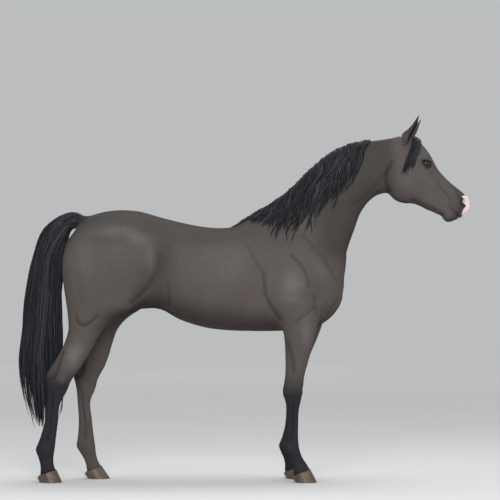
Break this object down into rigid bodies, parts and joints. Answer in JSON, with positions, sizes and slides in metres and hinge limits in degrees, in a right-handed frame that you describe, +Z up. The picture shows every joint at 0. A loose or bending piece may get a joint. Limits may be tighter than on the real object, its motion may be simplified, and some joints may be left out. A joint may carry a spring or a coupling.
{
  "type": "horse",
  "caption": "Life-size still model of a standing dark horse of the Arab type, with arched neck, mane fallen to the right, raised tail and four hooves flat on the floor.",
  "frame": {"origin": "on the floor, under the middle of the whole model's box", "axes": "+X towards the nose, +Y to the horse's left side, +Z up"},
  "size_m": [2.4982, 0.5366, 2.0085],
  "materials": {
    "coat": "short dense coat on a hide, soft sheen",
    "hair": "long straight hair, silky",
    "horn": "hoof horn, satin, with fine growth lines",
    "eye": "wet and polished"
  },
  "bodies": {
    "root": {"trunk": "coat", "neck": "coat", "head": "coat", "ear_right": "coat", "ear_left": "coat", "leg_hind_right": "coat", "leg_hind_left": "coat", "leg_fore_right": "coat", "leg_fore_left": "coat", "tail_dock": "coat", "tail_hair": "hair", "mane": "hair", "forelock": "hair", "eye_right": "eye", "eye_left": "eye", "hoof_hind_right": "horn", "hoof_hind_left": "horn", "hoof_fore_right": "horn", "hoof_fore_left": "horn"}
  },
  "joints": []
}
